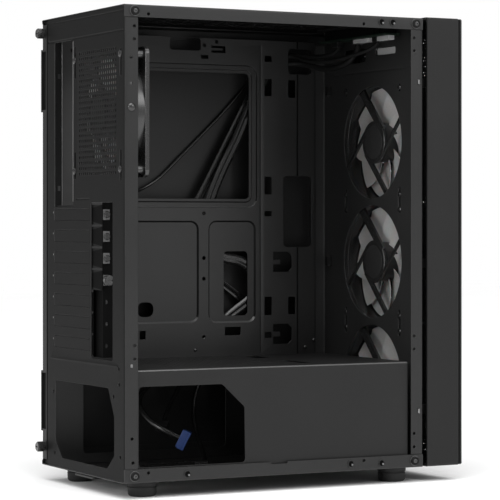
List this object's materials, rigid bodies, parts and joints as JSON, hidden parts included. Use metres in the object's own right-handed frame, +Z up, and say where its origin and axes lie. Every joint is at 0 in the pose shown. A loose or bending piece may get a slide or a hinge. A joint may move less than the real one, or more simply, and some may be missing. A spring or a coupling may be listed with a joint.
{
  "type": "desktop computer tower",
  "caption": "Black mid-tower computer case with its glass side off, with a vented rear, front and rear fans, front bezel, filters, port strip and front-panel wiring.",
  "frame": {"origin": "centre of the footprint, on the floor that the feet stand on", "axes": "+Z up, +Y towards the rear, -Y towards the front, -X towards the open glass side"},
  "size_m": [0.2, 0.3702, 0.4513],
  "materials": {
    "steel": "matte black powder coat with a fine texture",
    "plastic": "black moulded plastic, fine texture",
    "filter_mesh": "fine black nylon mesh",
    "blade": "milky translucent plastic",
    "rubber": "matte black rubber",
    "screw": "black zinc, knurled",
    "port_metal": "bright stamped shell",
    "board": "dark solder mask",
    "cable": "black soft jacket",
    "blue_plug": "blue moulded plastic"
  },
  "bodies": {
    "chassis": {"rear_panel": "steel", "top_panel": "steel", "bottom_panel": "steel", "front_plate": "steel", "motherboard_tray": "steel", "psu_shroud": "steel", "drive_cage": "steel", "slot_shelf": "steel", "slot_cover_1": "steel", "slot_cover_2": "steel", "slot_cover_3": "steel", "slot_cover_4": "steel", "slot_cover_5": "steel", "slot_cover_6": "steel", "slot_cover_7": "steel", "filter_rail_left": "plastic", "filter_rail_right": "plastic", "io_strip": "plastic", "rear_fan_frame": "plastic", "front_fan_1_frame": "plastic", "front_fan_2_frame": "plastic", "front_fan_3_frame": "plastic", "foot_rear_left": "rubber", "foot_rear_right": "rubber", "foot_front_left": "rubber", "foot_front_right": "rubber", "glass_boss_1": "rubber", "glass_boss_2": "rubber", "glass_boss_3": "rubber", "glass_boss_4": "rubber", "usb_port_1": "port_metal", "usb_port_2": "port_metal", "usb_port_3": "port_metal", "audio_jack_1": "port_metal", "audio_jack_2": "port_metal", "io_board": "board", "usb_cable": "cable", "audio_cable": "cable", "panel_cable": "cable", "fan_cable": "cable", "audio_plug": "cable", "panel_plug": "cable", "fan_plug": "cable", "usb_plug": "blue_plug"},
    "rear_fan_rotor": {"rear_fan_rotor": "blade"},
    "front_fan_1_rotor": {"front_fan_1_rotor": "blade"},
    "front_fan_2_rotor": {"front_fan_2_rotor": "blade"},
    "front_fan_3_rotor": {"front_fan_3_rotor": "blade"},
    "power_button": {"power_button": "plastic"},
    "reset_button": {"reset_button": "plastic"},
    "right_panel": {"right_side_panel": "steel"},
    "side_screw_1": {"side_thumbscrew_1": "screw"},
    "side_screw_2": {"side_thumbscrew_2": "screw"},
    "slot_screw": {"slot_thumbscrew": "screw"},
    "bezel": {"front_bezel": "plastic", "front_grille": "steel", "front_filter": "filter_mesh"},
    "top_filter": {"top_filter": "filter_mesh"},
    "psu_filter": {"psu_filter": "filter_mesh"}
  },
  "joints": [
    {"name": "rear_fan_spin", "type": "hinge", "parent": "chassis", "child": "rear_fan_rotor", "pos_m": [-0.035, 0.1631, 0.353], "axis": [0, 1, 0], "continuous": true},
    {"name": "front_fan_1_spin", "type": "hinge", "parent": "chassis", "child": "front_fan_1_rotor", "pos_m": [-0.0025, -0.1529, 0.3325], "axis": [0, 1, 0], "continuous": true},
    {"name": "front_fan_2_spin", "type": "hinge", "parent": "chassis", "child": "front_fan_2_rotor", "pos_m": [-0.0025, -0.1529, 0.2125], "axis": [0, 1, 0], "continuous": true},
    {"name": "front_fan_3_spin", "type": "hinge", "parent": "chassis", "child": "front_fan_3_rotor", "pos_m": [-0.0025, -0.1529, 0.0925], "axis": [0, 1, 0], "continuous": true},
    {"name": "power_push", "type": "slide", "parent": "chassis", "child": "power_button", "axis": [0, 0, -1], "range_m": [0, 0.0015], "stiffness_N_per_m": 600, "springref_m": -0.001},
    {"name": "reset_push", "type": "slide", "parent": "chassis", "child": "reset_button", "axis": [0, 0, -1], "range_m": [0, 0.001], "stiffness_N_per_m": 600, "springref_m": -0.001},
    {"name": "right_panel_slide", "type": "slide", "parent": "chassis", "child": "right_panel", "axis": [0, 1, 0], "range_m": [0, 0.014]},
    {"name": "side_screw_turn_1", "type": "hinge", "parent": "right_panel", "child": "side_screw_1", "pos_m": [0.0915, 0.1811, 0.4365], "axis": [0, 1, 0], "continuous": true},
    {"name": "side_screw_turn_2", "type": "hinge", "parent": "right_panel", "child": "side_screw_2", "pos_m": [0.0915, 0.1811, 0.033], "axis": [0, 1, 0], "continuous": true},
    {"name": "slot_screw_turn", "type": "hinge", "parent": "chassis", "child": "slot_screw", "pos_m": [-0.0482, 0.1709, 0.19824], "axis": [1, 0, 0], "continuous": true},
    {"name": "bezel_pull", "type": "slide", "parent": "chassis", "child": "bezel", "axis": [0, -1, 0], "range_m": [0, 0.05]},
    {"name": "top_filter_lift", "type": "slide", "parent": "chassis", "child": "top_filter", "axis": [0, 0, 1], "range_m": [0, 0.03]},
    {"name": "psu_filter_slide", "type": "slide", "parent": "chassis", "child": "psu_filter", "axis": [0, 1, 0], "range_m": [0, 0.16]}
  ]
}
